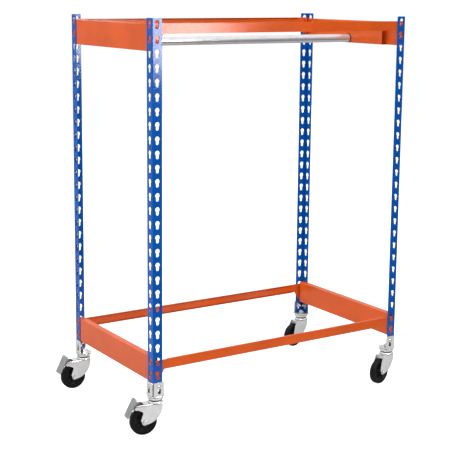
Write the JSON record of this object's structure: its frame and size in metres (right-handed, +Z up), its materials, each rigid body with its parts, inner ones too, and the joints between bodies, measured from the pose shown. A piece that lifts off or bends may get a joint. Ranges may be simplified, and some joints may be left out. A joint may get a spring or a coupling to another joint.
{
  "type": "rolling clothes rack",
  "caption": "Rolling clothes rack: blue slotted steel uprights, orange riveted beams and rails, a chrome garment tube and swivel casters, two with foot brakes.",
  "frame": {"origin": "on the floor, under the middle of the frame", "axes": "+X along the garment tube, +Y from front to back, +Z up"},
  "size_m": [1.2413, 0.6612, 1.496],
  "materials": {
    "blue_paint": "gloss blue powder coat on folded steel sheet",
    "orange_paint": "satin orange powder coat on folded steel sheet",
    "chrome_tube": "polished chrome plating",
    "bright_zinc": "bright zinc plating",
    "grey_zinc": "dull grey zinc plating, ribbed",
    "ball_steel": "hardened steel, greased",
    "black_plastic": "moulded black polypropylene",
    "tyre_rubber": "solid black rubber",
    "shoe_rubber": "hard black rubber pad"
  },
  "bodies": {
    "frame": {"beam_rivets": "orange_paint", "bracket_bolts": "bright_zinc", "bracket_nuts": "bright_zinc", "caster_bracket_back_left": "bright_zinc", "caster_bracket_back_right": "bright_zinc", "caster_bracket_front_left": "bright_zinc", "caster_bracket_front_right": "bright_zinc", "end_beam_bottom_left": "orange_paint", "end_beam_bottom_right": "orange_paint", "end_beam_top_left": "orange_paint", "end_beam_top_right": "orange_paint", "garment_tube": "chrome_tube", "kingpin_back_left": "bright_zinc", "kingpin_back_right": "bright_zinc", "kingpin_front_left": "bright_zinc", "kingpin_front_right": "bright_zinc", "kingpin_nuts": "bright_zinc", "race_cap_back_left": "bright_zinc", "race_cap_back_right": "bright_zinc", "race_cap_front_left": "bright_zinc", "race_cap_front_right": "bright_zinc", "rail_bottom_back": "orange_paint", "rail_bottom_front": "orange_paint", "rail_top_back": "orange_paint", "rail_top_front": "orange_paint", "tube_plug_left": "black_plastic", "tube_plug_right": "black_plastic", "tube_screws": "bright_zinc", "upright_back_left": "blue_paint", "upright_back_right": "blue_paint", "upright_front_left": "blue_paint", "upright_front_right": "blue_paint"},
    "swivel_front_left": {"fork_front_left": "bright_zinc", "swivel_balls_front_left": "ball_steel", "axle_front_left": "bright_zinc", "brake_pin_front_left": "bright_zinc"},
    "wheel_front_left": {"wheel_core_front_left": "black_plastic", "tyre_front_left": "tyre_rubber"},
    "brake_front_left": {"brake_pedal_front_left": "grey_zinc", "brake_shoe_front_left": "shoe_rubber"},
    "swivel_back_left": {"fork_back_left": "bright_zinc", "swivel_balls_back_left": "ball_steel", "axle_back_left": "bright_zinc", "brake_pin_back_left": "bright_zinc"},
    "wheel_back_left": {"wheel_core_back_left": "black_plastic", "tyre_back_left": "tyre_rubber"},
    "brake_back_left": {"brake_pedal_back_left": "grey_zinc", "brake_shoe_back_left": "shoe_rubber"},
    "swivel_back_right": {"fork_back_right": "bright_zinc", "swivel_balls_back_right": "ball_steel", "axle_back_right": "bright_zinc"},
    "wheel_back_right": {"wheel_core_back_right": "black_plastic", "tyre_back_right": "tyre_rubber"},
    "swivel_front_right": {"fork_front_right": "bright_zinc", "swivel_balls_front_right": "ball_steel", "axle_front_right": "bright_zinc"},
    "wheel_front_right": {"wheel_core_front_right": "black_plastic", "tyre_front_right": "tyre_rubber"}
  },
  "joints": [
    {"name": "swivel_front_left", "type": "hinge", "parent": "frame", "child": "swivel_front_left", "pos_m": [-0.548, -0.296, 0.1266], "axis": [0, 0, 1], "continuous": true},
    {"name": "roll_front_left", "type": "hinge", "parent": "swivel_front_left", "child": "wheel_front_left", "pos_m": [-0.59429, -0.28784, 0.051], "axis": [0.1736, 0.9848, 0], "continuous": true},
    {"name": "brake_front_left", "type": "hinge", "parent": "swivel_front_left", "child": "brake_front_left", "pos_m": [-0.62383, -0.28263, 0.1075], "axis": [0.1736, 0.9848, 0], "range_deg": [0, 25]},
    {"name": "swivel_back_left", "type": "hinge", "parent": "frame", "child": "swivel_back_left", "pos_m": [-0.548, 0.296, 0.1266], "axis": [0, 0, 1], "continuous": true},
    {"name": "roll_back_left", "type": "hinge", "parent": "swivel_back_left", "child": "wheel_back_left", "pos_m": [-0.59497, 0.29764, 0.051], "axis": [0.0349, 0.9994, 0], "continuous": true},
    {"name": "brake_back_left", "type": "hinge", "parent": "swivel_back_left", "child": "brake_back_left", "pos_m": [-0.62495, 0.29869, 0.1075], "axis": [0.0349, 0.9994, 0], "range_deg": [0, 25]},
    {"name": "swivel_back_right", "type": "hinge", "parent": "frame", "child": "swivel_back_right", "pos_m": [0.548, 0.296, 0.1266], "axis": [0, 0, 1], "continuous": true},
    {"name": "roll_back_right", "type": "hinge", "parent": "swivel_back_right", "child": "wheel_back_right", "pos_m": [0.50146, 0.28946, 0.051], "axis": [-0.1392, 0.9903, 0], "continuous": true},
    {"name": "swivel_front_right", "type": "hinge", "parent": "frame", "child": "swivel_front_right", "pos_m": [0.548, -0.296, 0.1266], "axis": [0, 0, 1], "continuous": true},
    {"name": "roll_front_right", "type": "hinge", "parent": "swivel_front_right", "child": "wheel_front_right", "pos_m": [0.50221, -0.30657, 0.051], "axis": [-0.225, 0.9744, 0], "continuous": true}
  ]
}
